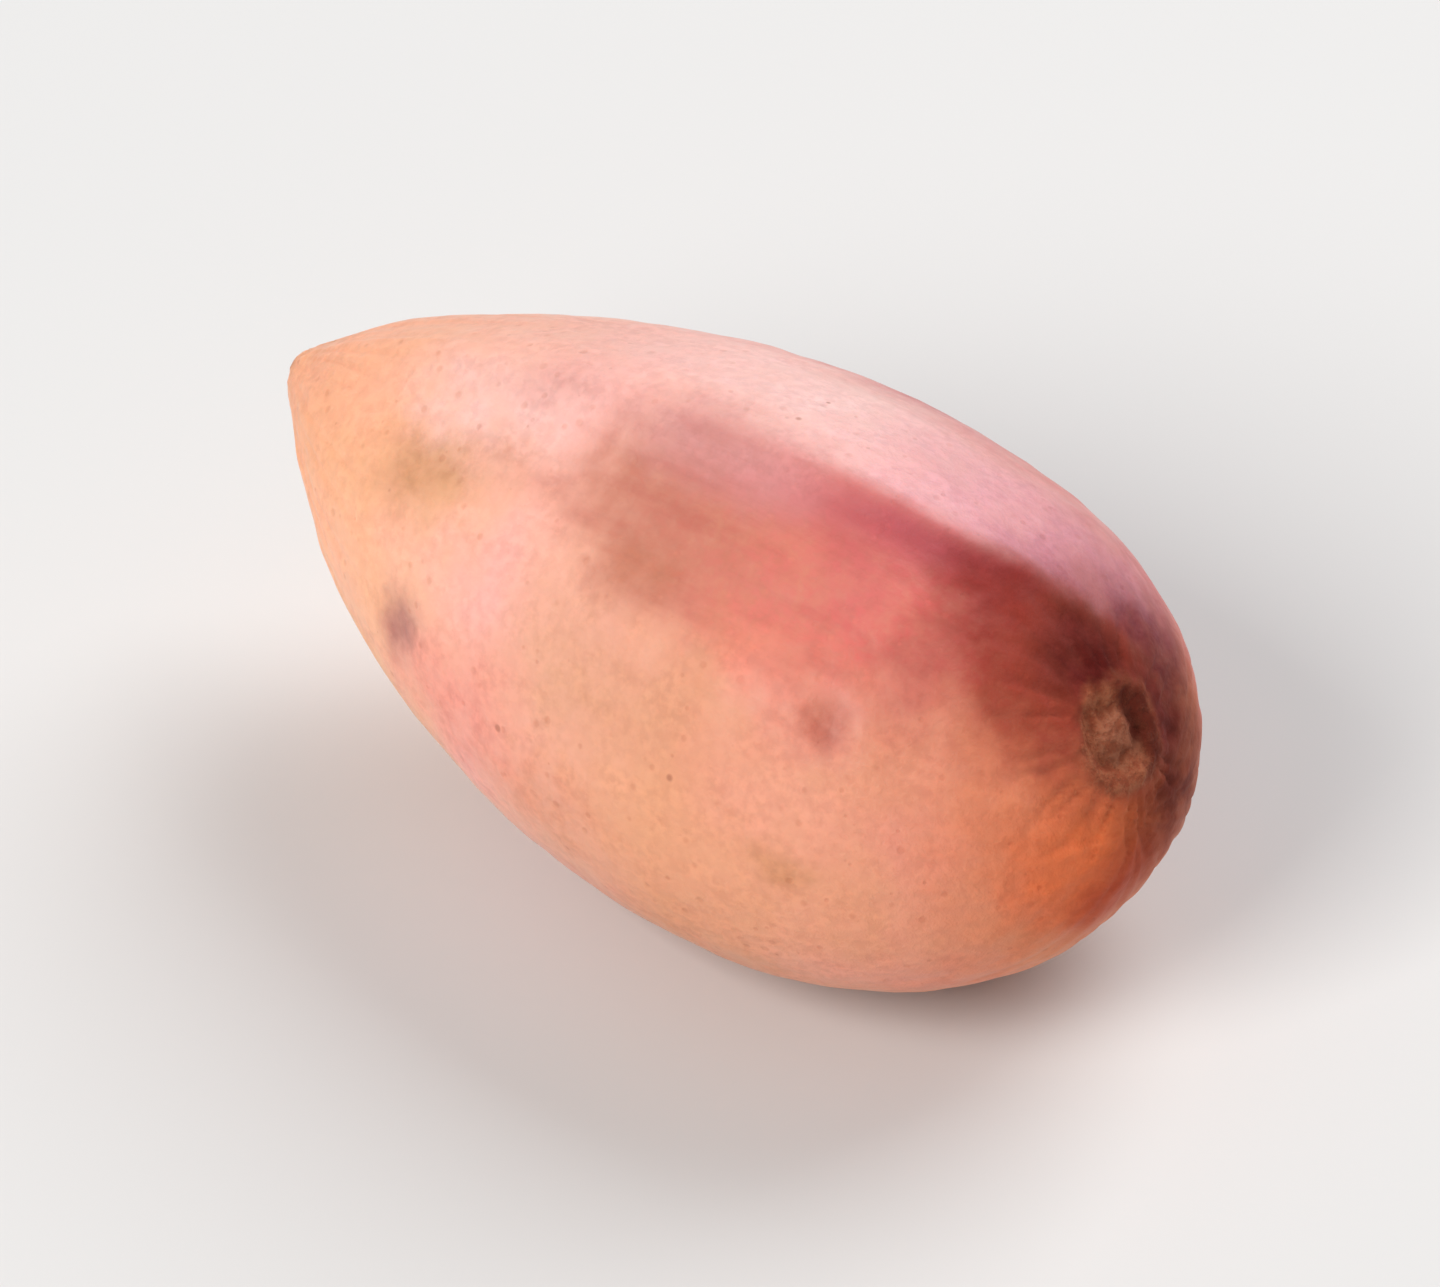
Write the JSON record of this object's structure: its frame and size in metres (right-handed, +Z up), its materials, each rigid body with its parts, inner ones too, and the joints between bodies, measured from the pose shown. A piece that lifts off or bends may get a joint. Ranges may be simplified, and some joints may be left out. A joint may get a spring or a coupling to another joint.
{
  "type": "fresh pistachio",
  "caption": "Whole fresh pistachio in its pink and cream hull: an egg-shaped fruit with a pointed tip, a keel along its back and a sunk stem scar.",
  "frame": {"origin": "on the surface that the fruit lies on, below the middle of its box", "axes": "+X from the pointed tip to the stem end, +Z up, +Y to the far side, away from the camera"},
  "size_m": [0.028, 0.0162, 0.015],
  "materials": {
    "hull": "satin"
  },
  "bodies": {
    "root": {"pistachio": "hull"}
  },
  "joints": []
}
